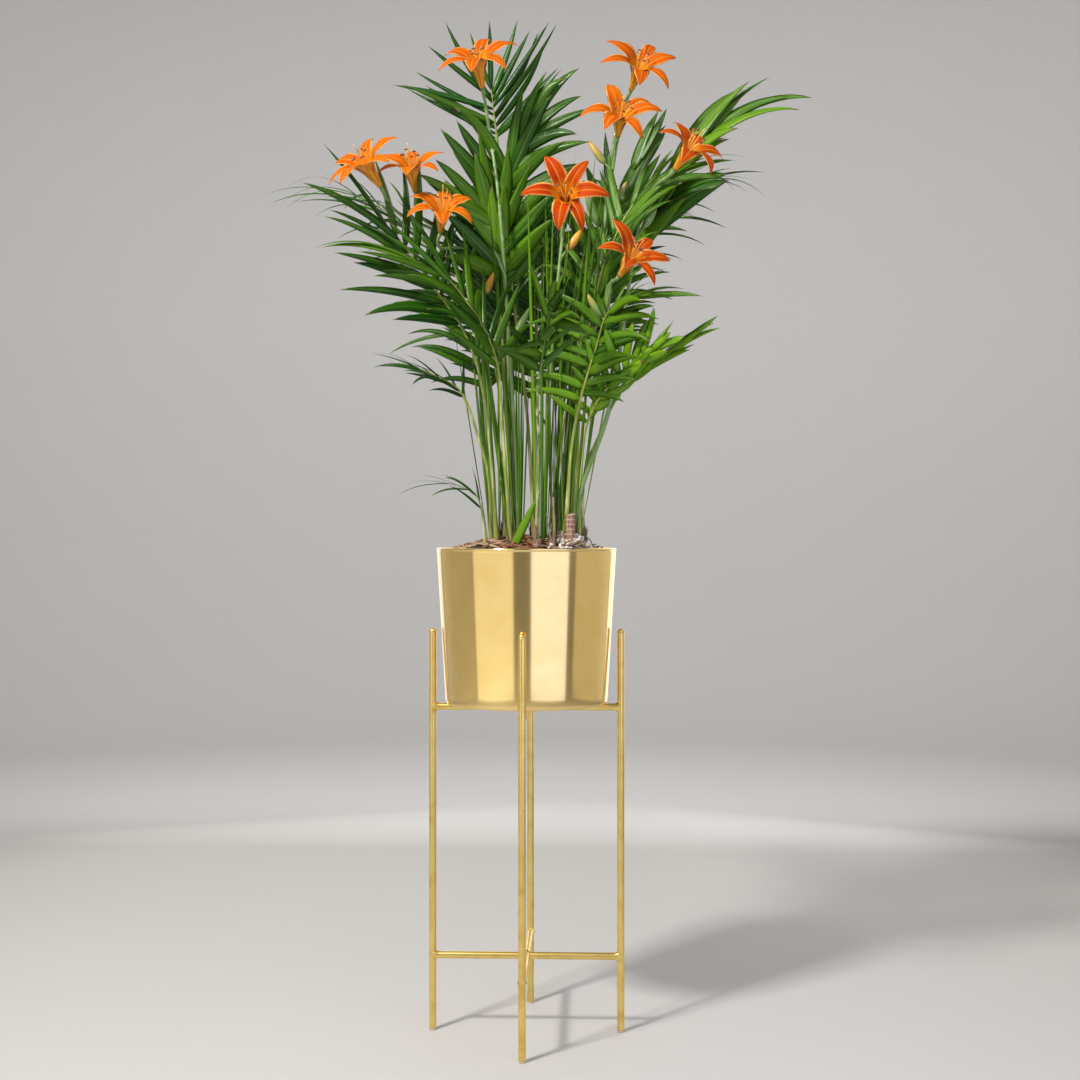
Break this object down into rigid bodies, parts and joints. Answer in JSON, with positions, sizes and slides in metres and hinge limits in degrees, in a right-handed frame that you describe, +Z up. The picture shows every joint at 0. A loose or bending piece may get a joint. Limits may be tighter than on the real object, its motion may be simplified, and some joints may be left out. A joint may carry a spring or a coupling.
{
  "type": "potted areca palm in a rod stand",
  "caption": "Areca palm and orange day lilies in a tapered golden metal pot, held up by an open golden rod stand.",
  "frame": {"origin": "on the floor, under the middle of the pot and of the stand's four legs", "axes": "+Z up, +X to the right of the viewer, -Y towards the viewer (the front)"},
  "size_m": [0.6442, 0.4484, 1.1471],
  "materials": {
    "stand_gold": "satin",
    "glide": "matte",
    "pot_gold": "satin",
    "potting_soil": "matte",
    "bark": "matte",
    "cane": "matte",
    "palm_leaf": "satin",
    "flower_stalk": "satin",
    "petal": "satin"
  },
  "bodies": {
    "stand": {"leg_right": "stand_gold", "leg_cap_right": "stand_gold", "foot_glide_right": "glide", "leg_back": "stand_gold", "leg_cap_back": "stand_gold", "foot_glide_back": "glide", "leg_left": "stand_gold", "leg_cap_left": "stand_gold", "foot_glide_left": "glide", "leg_front": "stand_gold", "leg_cap_front": "stand_gold", "foot_glide_front": "glide", "lower_cross_rod_across": "stand_gold", "lower_cross_rod_back": "stand_gold", "lower_cross_rod_front": "stand_gold", "upper_cross_rod_across": "stand_gold", "upper_cross_rod_back": "stand_gold", "upper_cross_rod_front": "stand_gold"},
    "planter": {"pot_shell": "pot_gold", "soil": "potting_soil", "bark_mulch": "bark", "cane_stub_right": "cane", "cane_stub_middle": "cane", "dry_stalk": "cane", "frond_crown_back": "palm_leaf", "frond_crown_middle": "palm_leaf", "frond_crown_left": "palm_leaf", "frond_crown_right": "palm_leaf", "frond_fan_right": "palm_leaf", "frond_arch_right": "palm_leaf", "frond_arch_right_near": "palm_leaf", "frond_arch_right_far": "palm_leaf", "frond_arch_left": "palm_leaf", "frond_arch_left_near": "palm_leaf", "frond_arch_far_left": "palm_leaf", "frond_arch_back": "palm_leaf", "frond_arch_far_right": "palm_leaf", "frond_near": "palm_leaf", "frond_low_left_near": "palm_leaf", "frond_low_right_near": "palm_leaf", "frond_low_right": "palm_leaf", "frond_low_left": "palm_leaf", "frond_low_back_left": "palm_leaf", "frond_low_back_right": "palm_leaf", "frond_back_middle": "palm_leaf", "frond_seedling_left": "palm_leaf", "scape_top_left": "flower_stalk", "scape_top_right": "flower_stalk", "scape_right": "flower_stalk", "scape_left": "flower_stalk", "scape_middle": "flower_stalk", "lily_top_left": "petal", "lily_top_right": "petal", "lily_high_right": "petal", "lily_far_right": "petal", "lily_left_outer": "petal", "lily_left_inner": "petal", "lily_left_low": "petal", "lily_middle": "petal", "lily_right_low": "petal"}
  },
  "joints": [
    {"name": "pot_lift", "type": "slide", "parent": "stand", "child": "planter", "axis": [0, 0, 1], "range_m": [0, 0.12]}
  ]
}
